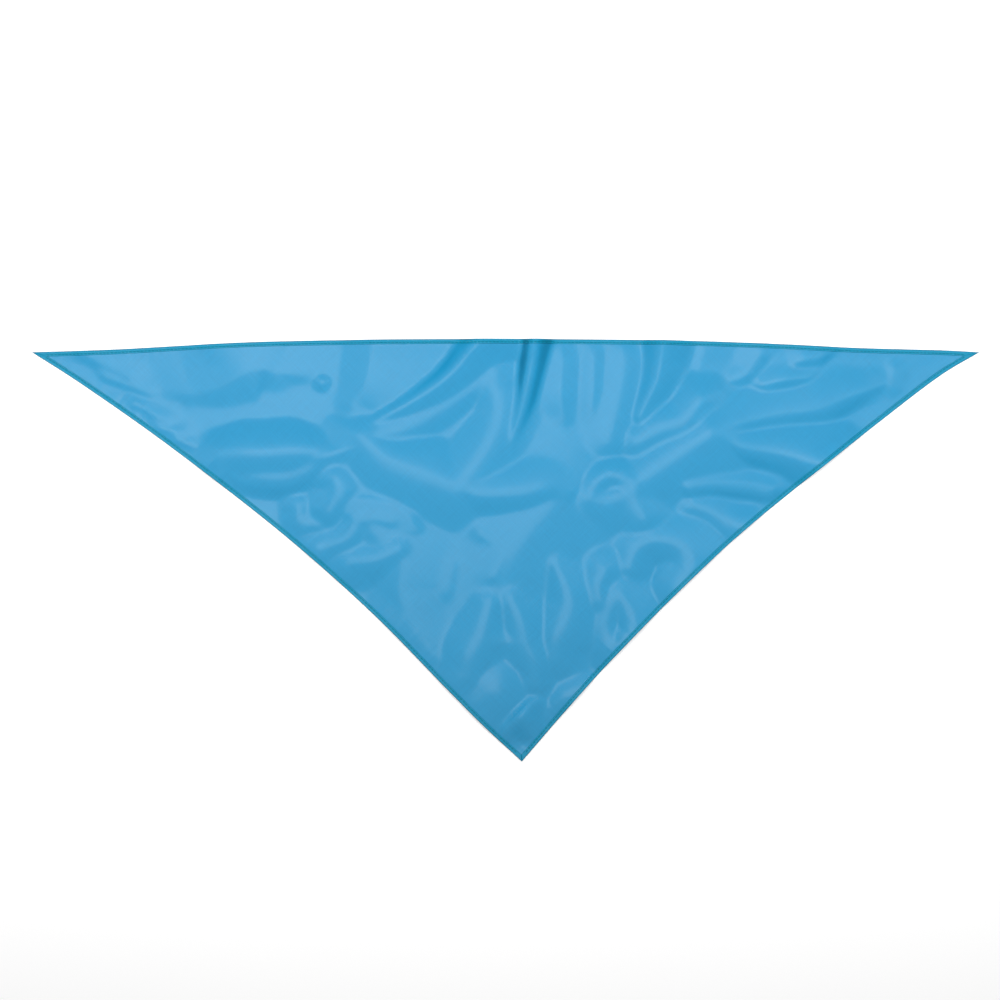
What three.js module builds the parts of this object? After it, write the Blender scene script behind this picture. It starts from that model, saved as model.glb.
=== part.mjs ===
// A triangular neckerchief of thin satin, lying face up on a flat surface.
// Millimetres, +X along the long edge, +Y from the point towards the long edge, +Z up.
// The origin is on the surface, under the middle of the outline's box.
import * as THREE from "three";

// The cut: the straight distance between the two tips, and how far the point hangs below them.
const longEdge = 1000;
const drop = 432;
const pointShift = 17; // the point lies this far to the right of the middle

// How far each edge is pulled out of its straight line.
const longEdgeRise = 14;
const leftEdgeBow = 22.5;
const rightEdgeBow = 25.2;

// The cloth and its hem, which is turned round the cloth's edge.
const clothThickness = 1;
const hemTurn = 1; // thickness of the turned layer, above and below the cloth
const hemWidth = 5;
const hemClearance = 0.3;
const hemCornerGap = 0.4; // between two hems where they meet in a mitre
const hemFoldRound = 0.7; // how far the fold's two corners are taken off

// The folds: the tallest one, and how softly crests are rounded and folds run into each other.
const foldHeight = 12;
const crestRound = 7;
const valleyBlend = 0.8;
const settleDepth = 0.2; // what is lower than this lies flat on the surface
const crestSteps = 4; // straight stretches between two places of a crest
const turnSharpness = 3; // how quickly the slope changes from one side of a crest to the other
const nearestPower = 8; // how much more a crest's nearest stretch counts than the others
const edgeEase = 26; // the cloth comes down from the hem to the surface over this distance

// The mesh: rows from the long edge to the point, each row two pieces shorter than the last.
const rows = 40;
const longStations = 2 * rows;

// How the edges leave their straight lines: along the edge from tip to tip or tip to point,
// and the share of that edge's rise or bow.
const longEdgeForm = [
  { along: 0.09, pulled: 0.22 },
  { along: 0.22, pulled: 0.72 },
  { along: 0.35, pulled: 0.94 },
  { along: 0.5, pulled: 1 },
  { along: 0.66, pulled: 0.91 },
  { along: 0.77, pulled: 0.68 },
  { along: 0.87, pulled: 0.33 },
  { along: 0.96, pulled: 0.15 },
];
const leftEdgeForm = [
  { along: 0.1, pulled: 0.37 },
  { along: 0.26, pulled: 0.76 },
  { along: 0.48, pulled: 1 },
  { along: 0.67, pulled: 0.84 },
  { along: 0.83, pulled: 0.37 },
  { along: 0.92, pulled: 0.12 },
];
const rightEdgeForm = [
  { along: 0.08, pulled: 0.38 },
  { along: 0.22, pulled: 0.65 },
  { along: 0.4, pulled: 0.92 },
  { along: 0.52, pulled: 1 },
  { along: 0.67, pulled: 0.86 },
  { along: 0.83, pulled: 0.54 },
];

// The folds. Each row is one crest, a smooth line through the places that it lists, with the cloth
// falling away on both sides. Places are shares: across the long edge from the left tip, and down
// from the tips towards the point. Heights are shares of foldHeight, slope is how steeply the
// cloth falls to the left and to the right of the crest's run, and round is a share of crestRound.
const folds = [
  // The tall pleat that comes down from the middle of the long edge.
  {
    across: [0.53, 0.525, 0.517, 0.506, 0.496],
    down: [-0.05, 0.07, 0.13, 0.22, 0.285],
    height: [1, 0.8, 0.58, 0.33, 0.12],
    slope: [0.5, 0.7],
    round: 1,
  },
  // The slanting fold to its left.
  {
    across: [0.48, 0.448, 0.41, 0.37, 0.343],
    down: [-0.045, 0.037, 0.105, 0.152, 0.196],
    height: [0.75, 0.67, 0.46, 0.3, 0.2],
    slope: [0.38, 0.46],
    round: 1,
  },
  // The three-cornered tent under them: its right, upper and lower ridge.
  {
    across: [0.489, 0.495, 0.49, 0.479, 0.457],
    down: [0.046, 0.1, 0.152, 0.23, 0.313],
    height: [0.3, 0.35, 0.38, 0.42, 0.5],
    slope: [0.2, 0.2],
    round: 1,
  },
  {
    across: [0.489, 0.464, 0.43, 0.39, 0.35],
    down: [0.046, 0.083, 0.137, 0.178, 0.21],
    height: [0.3, 0.23, 0.2, 0.25, 0.42],
    slope: [0.2, 0.2],
    round: 1,
  },
  {
    across: [0.344, 0.375, 0.41, 0.447],
    down: [0.205, 0.262, 0.293, 0.333],
    height: [0.5, 0.54, 0.54, 0.54],
    slope: [0.2, 0.19],
    round: 1.5,
  },
  // The level ridge from the tent to the middle.
  {
    across: [0.447, 0.494, 0.558, 0.574],
    down: [0.337, 0.345, 0.342, 0.342],
    height: [0.54, 0.46, 0.46, 0.5],
    slope: [0.2, 0.25],
    round: 1.5,
  },
  // The long level ridge of the left half, and the shorter one below it.
  {
    across: [0.167, 0.193, 0.22, 0.244, 0.283, 0.306, 0.336],
    down: [0.27, 0.254, 0.244, 0.242, 0.237, 0.252, 0.205],
    height: [0.25, 0.38, 0.54, 0.57, 0.57, 0.57, 0.54],
    slope: [0.22, 0.26],
    round: 1,
  },
  {
    across: [0.226, 0.26, 0.283, 0.298, 0.306],
    down: [0.303, 0.306, 0.296, 0.274, 0.252],
    height: [0.42, 0.46, 0.46, 0.5, 0.54],
    slope: [0.25, 0.14],
    round: 1,
  },
  // Three short creases below them.
  { across: [0.327, 0.319], down: [0.308, 0.394], height: [0.42, 0.33], slope: [0.22, 0.22], round: 1.5 },
  {
    across: [0.28, 0.283, 0.304],
    down: [0.38, 0.416, 0.423],
    height: [0.33, 0.33, 0.3],
    slope: [0.2, 0.2],
    round: 1,
  },
  {
    across: [0.305, 0.331, 0.343, 0.35],
    down: [0.477, 0.46, 0.411, 0.374],
    height: [0.33, 0.27, 0.2, 0.08],
    slope: [0.2, 0.2],
    round: 1,
  },
  // The left edge stands a little off the surface along its middle.
  {
    across: [0.272, 0.331, 0.389, 0.441],
    down: [0.411, 0.562, 0.716, 0.846],
    height: [0.42, 0.58, 0.58, 0.5],
    slope: [0.17, 0.3],
    round: 1,
  },
  // The low folds above the point.
  {
    across: [0.483, 0.472, 0.463, 0.466, 0.476],
    down: [0.587, 0.663, 0.729, 0.773, 0.817],
    height: [0.27, 0.38, 0.46, 0.46, 0.46],
    slope: [0.24, 0.22],
    round: 1,
  },
  {
    across: [0.502, 0.515, 0.524, 0.532, 0.531],
    down: [0.582, 0.66, 0.721, 0.773, 0.812],
    height: [0.27, 0.38, 0.46, 0.46, 0.38],
    slope: [0.2, 0.24],
    round: 1,
  },
  {
    across: [0.473, 0.508, 0.522],
    down: [0.936, 0.905, 0.863],
    height: [0.42, 0.5, 0.42],
    slope: [0.45, 0.2],
    round: 1,
  },
  // The long low fold to their right.
  {
    across: [0.547, 0.564, 0.567, 0.559, 0.553, 0.554],
    down: [0.489, 0.545, 0.611, 0.648, 0.704, 0.753],
    height: [0.25, 0.46, 0.54, 0.58, 0.54, 0.42],
    slope: [0.2, 0.2],
    round: 1.5,
  },
  // The broad wedge right of the tall pleat, and its two narrow neighbours.
  {
    across: [0.561, 0.554, 0.565, 0.572],
    down: [0.015, 0.117, 0.203, 0.3],
    height: [0.3, 0.38, 0.43, 0.5],
    slope: [0.2, 0.2],
    round: 3,
  },
  { across: [0.586, 0.589], down: [0.068, 0.191], height: [0.38, 0.43], slope: [0.2, 0.2], round: 2 },
  {
    across: [0.629, 0.621, 0.612],
    down: [0.02, 0.117, 0.208],
    height: [0.42, 0.43, 0.43],
    slope: [0.32, 0.2],
    round: 2,
  },
  // The two upright folds of the right half.
  {
    across: [0.673, 0.667, 0.66, 0.65],
    down: [-0.05, 0.007, 0.064, 0.122],
    height: [0.79, 0.71, 0.5, 0.42],
    slope: [0.38, 0.42],
    round: 1,
  },
  {
    across: [0.715, 0.697, 0.695, 0.697, 0.711],
    down: [-0.024, 0.037, 0.083, 0.122, 0.183],
    height: [0.42, 0.42, 0.42, 0.42, 0.58],
    slope: [0.2, 0.2],
    round: 1,
  },
  // The slanting folds that meet them, and the small arch at their lower end.
  {
    across: [0.64, 0.658, 0.701],
    down: [0.22, 0.193, 0.156],
    height: [0.42, 0.46, 0.5],
    slope: [0.3, 0.22],
    round: 1,
  },
  {
    across: [0.638, 0.662, 0.683, 0.718],
    down: [0.325, 0.284, 0.257, 0.2],
    height: [0.5, 0.5, 0.52, 0.62],
    slope: [0.2, 0.28],
    round: 1,
  },
  {
    across: [0.587, 0.596, 0.607, 0.624, 0.636],
    down: [0.352, 0.318, 0.296, 0.308, 0.328],
    height: [0.5, 0.5, 0.5, 0.5, 0.5],
    slope: [0.2, 0.25],
    round: 1,
  },
  {
    across: [0.636, 0.633, 0.64],
    down: [0.328, 0.362, 0.403],
    height: [0.52, 0.48, 0.43],
    slope: [0.2, 0.2],
    round: 1,
  },
  // The two arms that run out towards the right edge, with a small one between them.
  {
    across: [0.722, 0.76, 0.797, 0.83, 0.864, 0.893],
    down: [0.196, 0.166, 0.149, 0.137, 0.115, 0.088],
    height: [0.62, 0.57, 0.53, 0.46, 0.38, 0.25],
    slope: [0.18, 0.34],
    round: 1.5,
  },
  {
    across: [0.722, 0.751, 0.77, 0.79, 0.819, 0.834],
    down: [0.2, 0.232, 0.237, 0.247, 0.269, 0.269],
    height: [0.62, 0.58, 0.58, 0.54, 0.42, 0.33],
    slope: [0.2, 0.45],
    round: 1.5,
  },
  {
    across: [0.779, 0.818, 0.862, 0.881],
    down: [0.198, 0.186, 0.166, 0.13],
    height: [0.38, 0.38, 0.38, 0.3],
    slope: [0.27, 0.27],
    round: 1,
  },
  {
    across: [0.695, 0.718, 0.736, 0.753],
    down: [0.374, 0.389, 0.413, 0.421],
    height: [0.42, 0.5, 0.46, 0.33],
    slope: [0.32, 0.18],
    round: 1,
  },
  // Two short folds towards the right tip.
  { across: [0.748, 0.763], down: [0.044, 0.01], height: [0.42, 0.42], slope: [0.2, 0.2], round: 1.5 },
  {
    across: [0.774, 0.779, 0.79, 0.808],
    down: [0.086, 0.056, 0.027, -0.005],
    height: [0.42, 0.42, 0.42, 0.42],
    slope: [0.25, 0.25],
    round: 1,
  },
  // The ring and the arch above the right edge.
  {
    across: [0.616, 0.629, 0.633, 0.612, 0.603, 0.61, 0.616],
    down: [0.562, 0.631, 0.689, 0.719, 0.667, 0.606, 0.562],
    height: [0.5, 0.5, 0.5, 0.5, 0.5, 0.5, 0.5],
    slope: [0.2, 0.2],
    round: 1.5,
  },
  {
    across: [0.633, 0.639, 0.657, 0.677, 0.69, 0.693, 0.677],
    down: [0.521, 0.477, 0.455, 0.46, 0.491, 0.531, 0.562],
    height: [0.42, 0.46, 0.5, 0.5, 0.5, 0.46, 0.38],
    slope: [0.2, 0.2],
    round: 1.5,
  },
  // Two low folds near the long edge, in the left half.
  {
    across: [0.172, 0.201, 0.23, 0.26],
    down: [0.112, 0.083, 0.051, 0.073],
    height: [0.08, 0.15, 0.22, 0.15],
    slope: [0.3, 0.14],
    round: 0.5,
  },
  { across: [0.344, 0.338], down: [-0.015, 0.088], height: [0.25, 0.21], slope: [0.2, 0.2], round: 0.5 },
];

// The material's colours are those of the cloth's own dye.
const clothBlue = 0x47a4d5;
const hemBlue = 0x3a9ac6;

const halfLong = longEdge / 2;
const outlineHeight = drop + longEdgeRise;
const tipLine = outlineHeight / 2 - longEdgeRise; // Y of the line between the tips
const leftTip = new THREE.Vector2(-halfLong, tipLine);
const rightTip = new THREE.Vector2(halfLong, tipLine);
const point = new THREE.Vector2(pointShift, tipLine - drop);

// A curve from one corner to the next that leaves their straight line towards one side.
function edgeCurve(start, end, form, reach, side) {
  const chord = end.clone().sub(start);
  const outwards = new THREE.Vector2(-chord.y, chord.x).normalize().multiplyScalar(side * reach);
  const points = form.map(({ along, pulled }) =>
    start.clone().addScaledVector(chord, along).addScaledVector(outwards, pulled),
  );
  return new THREE.SplineCurve([start, ...points, end]);
}

// Each edge with the side on which the cloth lies: -1 to the right of its direction, 1 to the left.
const edges = {
  long: { curve: edgeCurve(leftTip, rightTip, longEdgeForm, longEdgeRise, 1), inside: -1 },
  left: { curve: edgeCurve(leftTip, point, leftEdgeForm, leftEdgeBow, 1), inside: 1 },
  right: { curve: edgeCurve(rightTip, point, rightEdgeForm, rightEdgeBow, -1), inside: -1 },
};

// The place on an edge, moved inwards by a distance.
function onEdge(edge, share, inset) {
  const at = Math.min(1, Math.max(0, share));
  const tangent = edge.curve.getTangentAt(at);
  const inwards = new THREE.Vector2(-tangent.y, tangent.x).multiplyScalar(edge.inside * inset);
  const beyond = (share - at) * edge.curve.getLength();
  return edge.curve.getPointAt(at).addScaledVector(tangent, beyond).add(inwards);
}

// The shares at which two edges cross once both are moved inwards, found by Newton's steps.
function crossing(edgeA, startA, edgeB, startB, inset) {
  let [a, b] = [startA, startB];
  const step = 1e-3;
  for (let round = 0; round < 12; round++) {
    const [placeA, placeB] = [onEdge(edgeA, a, inset), onEdge(edgeB, b, inset)];
    const alongA = onEdge(edgeA, a + step, inset).sub(placeA).divideScalar(step);
    const alongB = onEdge(edgeB, b + step, inset).sub(placeB).divideScalar(step);
    const apart = placeB.sub(placeA);
    const turn = alongA.cross(alongB);
    a += apart.cross(alongB) / turn;
    b += apart.cross(alongA) / turn;
  }
  return [a, b];
}

const seamInset = hemWidth + 2 * hemClearance; // from the outline to the seam row, clear of the hem
const clothInset = hemTurn + hemClearance; // from the outline to the cloth's own edge

// The stations of one edge: places on the outline, and on the seam row straight inside them.
// At the corners the two rows meet their neighbours', so that the hems end in mitres.
function stationsOf(edge, from, to, pieces) {
  const shares = Array.from({ length: pieces + 1 }, (_, i) => from + ((to - from) * i) / pieces);
  const seam = shares.map((share) => onEdge(edge, share, seamInset));
  const outer = [0, ...shares.slice(1, -1), 1].map((share) => onEdge(edge, share, 0));
  return { outer, seam };
}

const nearTip = seamInset / longEdge;
const [longStart, leftStart] = crossing(edges.long, nearTip, edges.left, nearTip, seamInset);
const [longEnd, rightStart] = crossing(edges.long, 1 - nearTip, edges.right, nearTip, seamInset);
const [leftEnd, rightEnd] = crossing(edges.left, 1 - nearTip, edges.right, 1 - nearTip, seamInset);
const stations = {
  long: stationsOf(edges.long, longStart, longEnd, longStations),
  left: stationsOf(edges.left, leftStart, leftEnd, rows),
  right: stationsOf(edges.right, rightStart, rightEnd, rows),
};

// How far a place is from the outline.
const rim = [
  ...stations.long.outer,
  ...stations.right.outer.slice(1),
  ...stations.left.outer.slice(1, -1).reverse(),
];
function distanceToRim(place) {
  let nearest = Infinity;
  rim.forEach((start, i) => {
    const piece = rim[(i + 1) % rim.length].clone().sub(start);
    const away = place.clone().sub(start);
    const share = THREE.MathUtils.clamp(away.dot(piece) / piece.lengthSq(), 0, 1);
    nearest = Math.min(nearest, away.addScaledVector(piece, -share).length());
  });
  return nearest;
}

// A place given as shares across the long edge and down towards the point.
const placeOf = (across, down) =>
  new THREE.Vector2(leftTip.x + across * longEdge, tipLine - down * drop);

// The short straight stretches of a crest's smooth line, with the height at both ends of each.
function stretchesOf({ across, down, height }) {
  const knots = across.map((share, i) => {
    const { x, y } = placeOf(share, down[i]);
    return new THREE.Vector3(x, y, height[i] * foldHeight);
  });
  const curve = new THREE.CatmullRomCurve3(knots, false, "catmullrom");
  const line = curve.getPoints(crestSteps * (knots.length - 1));
  return line.slice(1).map((end, i) => {
    const start = new THREE.Vector2(line[i].x, line[i].y);
    const run = new THREE.Vector2(end.x, end.y).sub(start);
    return { start, length: run.length(), run: run.normalize(), heights: [line[i].z, end.z] };
  });
}
const crests = folds.map((fold) => ({
  stretches: stretchesOf(fold),
  slope: fold.slope,
  round: fold.round * crestRound,
}));

// How high one fold stands at a place, below the surface beyond its foot. All its stretches count,
// the nearest by far the most, so that the flanks stay smooth where the crest bends.
function flankHeight(place, { stretches, slope, round }) {
  const [left, right] = slope;
  let total = 0;
  let weights = 0;
  for (const { start, run, length, heights } of stretches) {
    const away = place.clone().sub(start);
    const side = run.cross(away);
    const along = THREE.MathUtils.clamp(away.dot(run), 0, length);
    const distance = away.addScaledVector(run, -along).length();
    const lean = Math.tanh((turnSharpness * side) / Math.max(distance, 1e-6));
    const steep = ((left + right) + (left - right) * (lean / Math.tanh(turnSharpness))) / 2;
    const crest = THREE.MathUtils.lerp(...heights, along / length);
    const weight = (distance * distance + 1) ** -nearestPower;
    weights += weight;
    total += weight * (crest - steep * (Math.hypot(distance, round) - round));
  }
  return total / weights;
}

// The height of the cloth's underside: folds that meet run into each other, and low cloth lies flat.
function underside(place) {
  let joined = 1;
  for (const crest of crests) joined += Math.exp(flankHeight(place, crest) / valleyBlend);
  const raised = Math.max(0, valleyBlend * Math.log(joined) - settleDepth);
  const inFromHem = distanceToRim(place) - seamInset;
  const ease = THREE.MathUtils.smoothstep(inFromHem, 0, edgeEase);
  return raised + (hemTurn + hemClearance) * (1 - ease);
}

// How much longer a wall's upright thickness is where the cloth is steep.
function steepness(place) {
  const step = 0.5;
  const slope = (dx, dy) =>
    (underside(place.clone().add(new THREE.Vector2(dx, dy))) -
      underside(place.clone().sub(new THREE.Vector2(dx, dy)))) /
    (2 * step);
  return Math.hypot(1, slope(step, 0), slope(0, step));
}

// A place on the draped cloth, at an offset from its underside, never below the surface it lies on.
function draped(place, offset) {
  const height = underside(place) + offset * steepness(place);
  return new THREE.Vector3(place.x, place.y, Math.max(0, height));
}

// The hem zone is ruled between the outline and the seam row, so that hem and cloth keep their gap.
function inHem(side, station, inset, offset) {
  const { outer, seam } = stations[side];
  return draped(outer[station], offset).lerp(draped(seam[station], offset), inset / seamInset);
}

function geometryOf(vertices, triangles) {
  const geometry = new THREE.BufferGeometry().setFromPoints(vertices);
  geometry.setIndex(triangles.flat());
  geometry.computeVertexNormals();
  return geometry;
}

// The cloth: rows of places from the seam row at the long edge down to the point, then a strip
// under the hem all round, with an upper and a lower surface and the cut edge between them.
function clothGeometry() {
  const places = []; // one function for each place, from an offset to a point in space
  const add = (make) => places.push(make) - 1;
  const grid = [];
  const topRow = stations.long.seam;
  for (let row = 0; row <= rows; row++) {
    const pieces = longStations - 2 * row;
    const [start, end] = [stations.left.seam[row], stations.right.seam[row]];
    const keep = (1 - row / rows) ** 2; // how much of the long edge's rise is left in this row
    grid.push(
      Array.from({ length: pieces + 1 }, (_, i) => {
        const share = pieces ? i / pieces : 0;
        const along = share * longStations;
        const [before, after] = [Math.floor(along), Math.ceil(along)];
        const top = topRow[before].clone().lerp(topRow[after], along - before);
        const straight = topRow[0].clone().lerp(topRow[longStations], share);
        const place = start.clone().lerp(end, share);
        place.addScaledVector(top.sub(straight), keep);
        return add((offset) => draped(place, offset));
      }),
    );
  }
  const faces = [];
  for (let row = 0; row < rows; row++) {
    const [upper, lower] = [grid[row], grid[row + 1]];
    faces.push([upper[0], lower[0], upper[1]]);
    for (let i = 0; i + 1 < lower.length; i++) {
      faces.push([upper[i + 1], lower[i], lower[i + 1]]);
      faces.push([upper[i + 1], lower[i + 1], upper[i + 2]]);
    }
    faces.push([upper.at(-2), lower.at(-1), upper.at(-1)]);
  }

  // The strip under the hem, whose outer places are the cloth's cut edge.
  const cutEdge = (side, pieces) =>
    Array.from({ length: pieces + 1 }, (_, i) =>
      add((offset) => inHem(side, i, clothInset, offset)),
    );
  const seamRows = {
    long: grid[0],
    left: grid.map((row) => row[0]),
    right: grid.map((row) => row.at(-1)),
  };
  const cut = { long: cutEdge("long", longStations), left: cutEdge("left", rows) };
  cut.right = cutEdge("right", rows);
  cut.left[0] = cut.long[0];
  cut.right[0] = cut.long[longStations];
  cut.right[rows] = cut.left[rows];
  for (const side of ["long", "left", "right"]) {
    const [outside, inside] = [cut[side], seamRows[side]];
    for (let i = 0; i + 1 < outside.length; i++) {
      const pair = [
        [outside[i], inside[i], inside[i + 1]],
        [outside[i], inside[i + 1], outside[i + 1]],
      ];
      if (edges[side].inside === 1) pair.forEach((face) => face.reverse());
      faces.push(...pair);
    }
  }

  // Places that two edges share are listed twice, and only the first of each pair is used.
  const boundary = [...cut.long, ...cut.right.slice(1), ...cut.left.slice(1, -1).reverse()];
  const used = [...new Set(faces.flat())];
  const number = new Map(used.map((place, i) => [place, i]));
  const count = used.length;
  const vertices = [
    ...used.map((place) => places[place](clothThickness)),
    ...used.map((place) => places[place](0)),
  ];
  const top = faces.map((face) => face.map((place) => number.get(place)));
  const bottom = top.map(([a, b, c]) => [a + count, c + count, b + count]);
  const wall = boundary.flatMap((place, i) => {
    const here = number.get(place);
    const next = number.get(boundary[(i + 1) % boundary.length]);
    return [
      [here, next, next + count],
      [here, next + count, here + count],
    ];
  });
  return geometryOf(vertices, [...top, ...bottom, ...wall]);
}

// The hem's section: a narrow strip of cloth turned round the cut edge, open towards the middle.
// Each place is how far in from the outline, and how far above the cloth's underside.
const hemTop = clothThickness + hemClearance + hemTurn;
const hemBottom = -(hemClearance + hemTurn);
const hemSection = [
  [0, hemBottom + hemFoldRound],
  [hemFoldRound, hemBottom],
  [hemWidth, hemBottom],
  [hemWidth, -hemClearance],
  [hemTurn, -hemClearance],
  [hemTurn, clothThickness + hemClearance],
  [hemWidth, clothThickness + hemClearance],
  [hemWidth, hemTop],
  [hemFoldRound, hemTop],
  [0, hemTop - hemFoldRound],
];

// One edge's hem: the section at every station, with its two ends drawn back from the mitres.
function hemGeometry(side) {
  const count = stations[side].outer.length;
  const ring = (station) => hemSection.map(([inset, offset]) => inHem(side, station, inset, offset));
  const drawnBack = (end, next) => {
    const [here, there] = [ring(end), ring(next)];
    return here.map((place, i) => {
      const run = there[i].clone().sub(place);
      return place.addScaledVector(run, mitreDraw(side, end) / run.length());
    });
  };
  const rings = Array.from({ length: count }, (_, i) => ring(i));
  rings[0] = drawnBack(0, 1);
  rings[count - 1] = drawnBack(count - 1, count - 2);
  const size = hemSection.length;
  const triangles = [];
  for (let i = 0; i + 1 < count; i++) {
    for (let j = 0; j < size; j++) {
      const k = (j + 1) % size;
      const [a, b] = [i * size + j, i * size + k];
      if (hemSection[j][0] <= hemSection[k][0]) {
        triangles.push([a, b, b + size], [a, b + size, a + size]);
      } else {
        triangles.push([a, b, a + size], [b, b + size, a + size]);
      }
    }
  }
  const last = (count - 1) * size;
  const outline = hemSection.map(([inset, offset]) => new THREE.Vector2(inset, offset));
  for (const [a, b, c] of THREE.ShapeUtils.triangulateShape(outline, [])) {
    triangles.push([a, c, b], [last + a, last + b, last + c]);
  }
  if (edges[side].inside === -1) triangles.forEach((triangle) => triangle.reverse());
  return geometryOf(rings.flat(), triangles);
}

// How far a hem's end is drawn back along its edge, so that half the mitre's gap lies on its side.
function mitreDraw(side, station) {
  const { outer, seam } = stations[side];
  const along = outer[station ? station - 1 : 1].clone().sub(outer[station]).normalize();
  const mitre = seam[station].clone().sub(outer[station]).normalize();
  return hemCornerGap / 2 / Math.abs(along.cross(mitre));
}

function satin(colour, roughness) {
  return new THREE.MeshStandardMaterial({ color: colour, roughness, metalness: 0 });
}

function piece(name, geometry, material) {
  const mesh = new THREE.Mesh(geometry, material);
  mesh.name = name;
  return mesh;
}

const neckerchief = new THREE.Group();
neckerchief.add(piece("cloth", clothGeometry(), satin(clothBlue, 0.45)));
for (const side of Object.keys(edges)) {
  neckerchief.add(piece(side + "_edge_hem", hemGeometry(side), satin(hemBlue, 0.55)));
}

export default neckerchief;
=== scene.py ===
# A plain triangular neckerchief of thin satin with narrow stitched hems, lying flat on a pale floor.
# Metres, +X along the long edge, +Y from the point towards the long edge, +Z up from the surface.
import math

import bpy
import numpy as np
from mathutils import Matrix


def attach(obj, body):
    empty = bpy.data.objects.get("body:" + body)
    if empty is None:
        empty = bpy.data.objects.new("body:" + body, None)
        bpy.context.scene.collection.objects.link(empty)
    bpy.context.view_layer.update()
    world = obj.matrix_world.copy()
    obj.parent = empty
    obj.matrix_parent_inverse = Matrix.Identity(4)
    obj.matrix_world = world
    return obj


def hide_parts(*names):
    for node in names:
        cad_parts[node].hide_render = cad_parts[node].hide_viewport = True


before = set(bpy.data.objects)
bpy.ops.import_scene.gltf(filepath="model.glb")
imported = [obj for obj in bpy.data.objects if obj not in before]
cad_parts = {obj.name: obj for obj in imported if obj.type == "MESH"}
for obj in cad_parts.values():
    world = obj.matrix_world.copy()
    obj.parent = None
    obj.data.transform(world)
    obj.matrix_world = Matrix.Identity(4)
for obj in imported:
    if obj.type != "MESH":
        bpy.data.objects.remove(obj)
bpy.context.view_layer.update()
print("frame loaded, its nodes are", sorted(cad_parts))

# Camera: straight down on the surface.
cameraView = dict(
    middle=(-0.006, 0.053),  # the place on the surface at the middle of the picture
    height=4.0,
    across=1.056,  # width of the surface in the picture
)
cameraData = bpy.data.cameras.new("camera")
cameraData.sensor_width = 36
cameraData.lens = cameraData.sensor_width * cameraView["height"] / cameraView["across"]
camera = bpy.data.objects.new("camera", cameraData)
camera.location = (*cameraView["middle"], cameraView["height"])
bpy.context.collection.objects.link(camera)
bpy.context.scene.camera = camera
print("camera in place")


# Shape of the cut

cut = dict(
    longEdge=1.0,  # straight from tip to tip
    drop=0.432,  # from the tips' line down to the point
    pointShift=0.017,  # the point lies this far right of the middle
    longEdgeRise=0.014,
    leftEdgeBow=0.0225,
    rightEdgeBow=0.0252,
    area=0.206,  # of the whole cloth, in square metres
)
# Each row: share of the way along the edge, share of that edge's rise or bow.
longEdgeForm = [
    (0.09, 0.22), (0.22, 0.72), (0.35, 0.94), (0.5, 1), (0.66, 0.91), (0.77, 0.68), (0.87, 0.33), (0.96, 0.15),
]
leftEdgeForm = [(0.1, 0.37), (0.26, 0.76), (0.48, 1), (0.67, 0.84), (0.83, 0.37), (0.92, 0.12)]
rightEdgeForm = [(0.08, 0.38), (0.22, 0.65), (0.4, 0.92), (0.52, 1), (0.67, 0.86), (0.83, 0.54)]

tipLine = (cut["drop"] + cut["longEdgeRise"]) / 2 - cut["longEdgeRise"]  # Y of the line between the tips
leftTip = np.array([-cut["longEdge"] / 2, tipLine])
rightTip = np.array([cut["longEdge"] / 2, tipLine])
point = np.array([cut["pointShift"], tipLine - cut["drop"]])


lineMaking = dict(
    steps=60,  # places on an edge from knot to knot
    runReach=0.004,  # share of an edge on each side of a place over which its run is taken
    cornerShare=0.03,  # share of an edge from which its run at a corner is taken
    checks=260,  # places on an edge when the nearest one is looked for
    tiny=1e-5,  # length that stands for nothing where a length can't be nothing
)


def smoothLine(knots, steps):  # a smooth line through the knots, with this many steps from knot to knot
    knots = np.array(knots, float)
    if len(knots) == 1:
        knots = np.vstack([knots, knots + [lineMaking["tiny"], 0, 0, 0][:knots.shape[1]]])
    if len(knots) == 2:
        return knots
    ends = np.vstack([2 * knots[0] - knots[1], knots, 2 * knots[-1] - knots[-2]])
    t = np.linspace(0, 1, steps, endpoint=False)[:, None]
    parts = []
    for a, b, c, d in zip(ends, ends[1:], ends[2:], ends[3:]):
        second = t**2 * (2 * a - 5 * b + 4 * c - d) / 2
        third = t**3 * (3 * b - 3 * c + d - a) / 2
        parts.append(b + t * (c - a) / 2 + second + third)
    return np.vstack(parts + [knots[-1:]])


def edgeOf(start, end, form, reach, inwards):  # inwards is 1 where the cloth lies to the left of the edge's run
    chord = end - start
    across = np.array([-chord[1], chord[0]]) / np.hypot(*chord)
    knots = [start, *(start + along * chord + pulled * reach * across for along, pulled in form), end]
    line = smoothLine(knots, lineMaking["steps"])
    step = np.hypot(*np.diff(line, axis=0).T)
    length = step.sum()
    share = np.concatenate([[0], np.cumsum(step)]) / length
    return dict(line=line, share=share, length=length, inwards=inwards)


edges = {
    "long": edgeOf(leftTip, rightTip, longEdgeForm, cut["longEdgeRise"], -1),
    "left": edgeOf(leftTip, point, leftEdgeForm, cut["leftEdgeBow"], 1),
    "right": edgeOf(rightTip, point, rightEdgeForm, -cut["rightEdgeBow"], -1),
}


def onEdge(edge, shares):
    return np.column_stack([np.interp(shares, edge["share"], edge["line"][:, k]) for k in (0, 1)])


def alongEdge(edge, shares, inset):  # places on an edge that is moved inwards
    shares = np.asarray(shares, float)
    reach = lineMaking["runReach"]
    run = onEdge(edge, np.clip(shares + reach, 0, 1)) - onEdge(edge, np.clip(shares - reach, 0, 1))
    run /= np.hypot(*run.T)[:, None]
    return onEdge(edge, shares) + np.column_stack([-run[:, 1], run[:, 0]]) * edge["inwards"] * inset


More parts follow.
